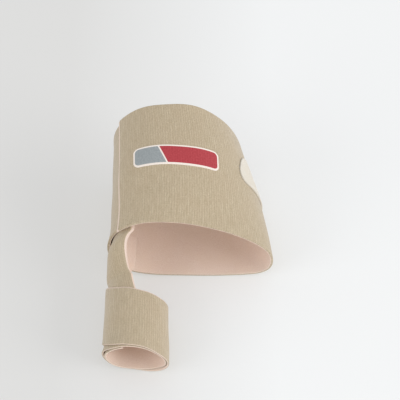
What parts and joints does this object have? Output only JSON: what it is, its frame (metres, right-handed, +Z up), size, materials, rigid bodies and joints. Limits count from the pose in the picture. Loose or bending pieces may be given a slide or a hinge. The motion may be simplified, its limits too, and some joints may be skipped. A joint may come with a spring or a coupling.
{
  "type": "bunion corrector",
  "caption": "Knit and foam bunion corrector in its worn form: a wide midfoot wrap, a strap along the joint and a toe wrap, with a hook tab.",
  "frame": {"origin": "inner face of the sole part, under the middle of the midfoot wrap", "axes": "+Z up from the sole, -Y towards the toes, -X towards the big toe side of a left foot"},
  "size_m": [0.0919, 0.1311, 0.0696],
  "materials": {
    "knit_foam": "beige rib knit outside, pale foam at the cut edges and inside",
    "hook_fabric": "off-white hook fabric",
    "label_print": "flat printed label in red, grey and cream"
  },
  "bodies": {
    "root": {"midfoot_wrap": "knit_foam", "medial_strap": "knit_foam", "toe_wrap": "knit_foam", "closure_tab": "hook_fabric", "label": "label_print"}
  },
  "joints": []
}
